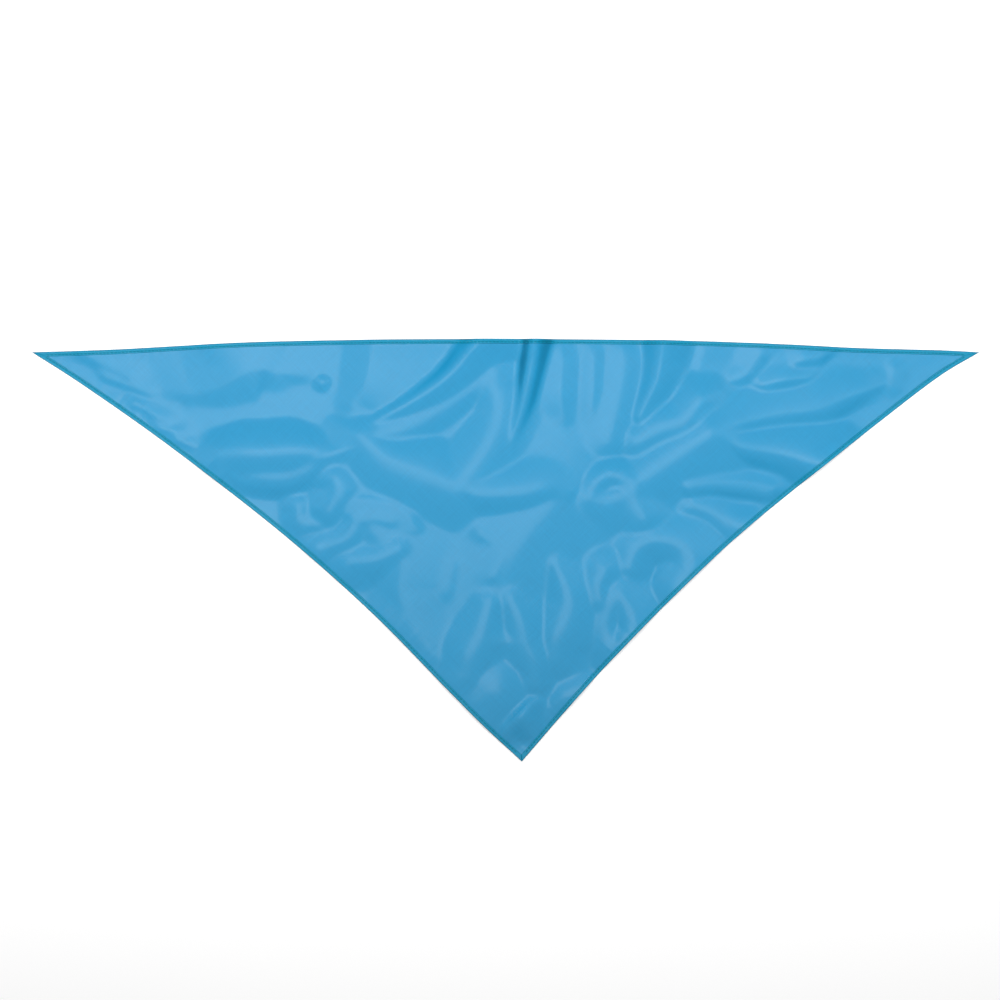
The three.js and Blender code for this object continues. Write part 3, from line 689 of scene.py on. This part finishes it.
def weaveGroup():  # threads along both ways of a map in metres, with thicker ones here and there
    tree, enter, leave = group(
        "weave",
        [("Map", "NodeSocketVector"), ("Thread", "NodeSocketFloat"), ("Slub", "NodeSocketFloat")],
        [("Height", "NodeSocketFloat"), ("Tone", "NodeSocketFloat")],
    )
    parts = node(tree, "ShaderNodeSeparateXYZ", {0: enter.outputs["Map"]})
    ways = []
    for first, second in ((0, 1), (1, 0)):
        fine = maths(tree, "DIVIDE", parts.outputs[first], enter.outputs["Thread"])
        slow = maths(tree, "DIVIDE", parts.outputs[second], enter.outputs["Slub"])
        stretched = node(tree, "ShaderNodeCombineXYZ", {0: fine, 1: slow, 2: float(first) * 7})
        noise = node(tree, "ShaderNodeTexNoise", {
            "Vector": stretched.outputs[0],
            "Scale": 1.0,
            "Detail": 3.0,
            "Roughness": 0.6,
        })
        ways.append(noise.outputs["Fac"])
    both = maths(tree, "ADD", ways[0], ways[1])
    tree.links.new(maths(tree, "MULTIPLY", both, 0.5), leave.inputs["Height"])
    tree.links.new(maths(tree, "SUBTRACT", both, 1.0), leave.inputs["Tone"])
    return tree


weave = weaveGroup()

satin = dict(
    colour=(0.005, 0.273, 0.525, 1),
    roughness=0.45,
    specular=0.6,
    coat=1.0,
    coatRoughness=0.17,
    toneSpread=0.2,  # how much the threads change the colour
    steepShadeTone=0.4,  # painted shade: share of the colour that is left where the cloth is steep
    steepShadeFrom=0.74,  # upward share of the normal where it is steep
    steepShadeTo=0.9,  # and where it is flat enough for the whole colour
    relief=0.00006,
    thread=0.0011,
    slub=0.03,  # length of a thicker stretch of thread
)


def fabric(name, look, turn):
    material = bpy.data.materials.new(name)
    material.use_nodes = True
    tree = material.node_tree
    tree.nodes.clear()
    place = node(tree, "ShaderNodeUVMap", uv_map="flat")
    rotation = (0, 0, math.radians(turn))
    turned = node(tree, "ShaderNodeMapping", {"Vector": place.outputs["UV"], "Rotation": rotation})
    threads = node(tree, "ShaderNodeGroup", node_tree=weave)
    tree.links.new(turned.outputs[0], threads.inputs["Map"])
    threads.inputs["Thread"].default_value = look["thread"]
    threads.inputs["Slub"].default_value = look["slub"]
    tone = maths(tree, "MULTIPLY_ADD", threads.outputs["Tone"], look["toneSpread"])
    tone.node.inputs[2].default_value = 1.0
    # Painted shade: the colour is darkened where the normal leans away from upright, so steep fold sides look
    # shaded.
    upright = node(tree, "ShaderNodeSeparateXYZ", {0: node(tree, "ShaderNodeNewGeometry").outputs["Normal"]})
    paintedShade = node(tree, "ShaderNodeMapRange", {
        "Value": upright.outputs["Z"],
        "From Min": look["steepShadeFrom"],
        "From Max": look["steepShadeTo"],
        "To Min": look["steepShadeTone"],
        "To Max": 1.0,
    })
    tone = maths(tree, "MULTIPLY", tone, paintedShade.outputs["Result"])
    colour = node(tree, "ShaderNodeVectorMath", {0: look["colour"][:3]}, operation="SCALE")
    tree.links.new(tone, colour.inputs["Scale"])
    bump = node(tree, "ShaderNodeBump", {
        "Height": threads.outputs["Height"],
        "Strength": 1.0,
        "Distance": look["relief"],
    })
    shader = node(tree, "ShaderNodeBsdfPrincipled", {
        "Base Color": colour.outputs[0],
        "Roughness": look["roughness"],
        "Specular IOR Level": look["specular"],
        "Coat Weight": look["coat"],
        "Coat Roughness": look["coatRoughness"],
        "Normal": bump.outputs[0],
        "Coat Normal": bump.outputs[0],
    })
    node(tree, "ShaderNodeOutputMaterial", {"Surface": shader.outputs[0]})
    return material


# The hem and the thread take the satin's other numbers, its painted shade on steep sides too.
hemLook = {
    **satin,
    "colour": (0.001, 0.262, 0.44, 1),
    "specular": 0.4,
    "coat": 0.5,
    "thread": 0.0009,
}
threadLook = {
    **satin,
    "colour": (0.002, 0.25, 0.38, 1),
    "roughness": 0.55,
    "specular": 0.3,
    "coat": 0.0,
    "toneSpread": 0.3,
    "relief": 0.00004,
    "thread": 0.0002,
    "slub": 0.001,
}
clothMaterial = fabric("skySatin", satin, 45)
hemMaterial = fabric("hemSatin", hemLook, 0)
threadMaterial = fabric("tealThread", threadLook, 30)
cloth.data.materials.append(clothMaterial)
for name in edges:
    hems[name].data.materials.append(hemMaterial)
    threads[name].data.materials.append(threadMaterial)
print("materials made")

# Floor, light and surroundings

studio = dict(
    floorColour=(0.9, 0.9, 0.9, 1),
    overhead=0.52,  # brightness of the surroundings straight above
    horizon=0.03,  # and near the horizon
    overheadFrom=0.88,  # cosines of the angles from the upright between which it falls off
    horizonFrom=0.55,
    windowMiddle=(-0.21, 0.225, 3.6),
    windowSize=(1.02, 1.05),
    windowPower=3.9,
    stripMiddle=(0, 0.25, 0.9),
    stripSize=(3.0, 0.25),
    stripPower=18,
    floorGlow=0.29,  # keeps the floor as pale as in the photo
)
bpy.ops.object.select_all(action="DESELECT")
bpy.ops.mesh.primitive_grid_add(x_subdivisions=8, y_subdivisions=8, size=12, location=(0, 0, 0))
floor = bpy.context.object
floor.name = "floor"
floorMaterial = bpy.data.materials.new("paleFloor")
floorMaterial.use_nodes = True
floorShader = floorMaterial.node_tree.nodes["Principled BSDF"]
floorShader.inputs["Base Color"].default_value = studio["floorColour"]
floorShader.inputs["Roughness"].default_value = 0.9
floorShader.inputs["Specular IOR Level"].default_value = 0.0
floorShader.inputs["Emission Color"].default_value = (1, 1, 1, 1)
floorShader.inputs["Emission Strength"].default_value = studio["floorGlow"]
floor.data.materials.append(floorMaterial)

windowLight = bpy.data.lights.new("window", "AREA")
windowLight.shape = "RECTANGLE"
windowLight.size, windowLight.size_y = studio["windowSize"]
windowLight.energy = studio["windowPower"]
window = bpy.data.objects.new("window", windowLight)
window.location = studio["windowMiddle"]
window.visible_camera = False
bpy.context.collection.objects.link(window)

# Soft light above the long edge, which lets the point grow darker.
stripLight = bpy.data.lights.new("strip", "AREA")
stripLight.shape = "RECTANGLE"
stripLight.size, stripLight.size_y = studio["stripSize"]
stripLight.energy = studio["stripPower"]
strip = bpy.data.objects.new("strip", stripLight)
strip.location = studio["stripMiddle"]
strip.visible_camera = False
strip.visible_glossy = False
bpy.context.collection.objects.link(strip)

world = bpy.data.worlds.new("studio")
world.use_nodes = True
sky = world.node_tree
direction = node(sky, "ShaderNodeTexCoord")
upwards = node(sky, "ShaderNodeSeparateXYZ", {0: direction.outputs["Generated"]})
fall = node(sky, "ShaderNodeMapRange", {
    "Value": upwards.outputs["Z"],
    "From Min": studio["horizonFrom"],
    "From Max": studio["overheadFrom"],
    "To Min": studio["horizon"],
    "To Max": studio["overhead"],
}, interpolation_type="SMOOTHSTEP")
sky.links.new(fall.outputs["Result"], sky.nodes["Background"].inputs["Strength"])
sky.nodes["Background"].inputs["Color"].default_value = (1, 1, 1, 1)
bpy.context.scene.world = world
bpy.context.scene.view_settings.view_transform = "Standard"
print("studio lit")

# What each piece stands for

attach(cloth, "root")
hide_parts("cloth")
for name in edges:
    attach(hems[name], "root")
    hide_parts(name + "_edge_hem")
    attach(threads[name], "root")
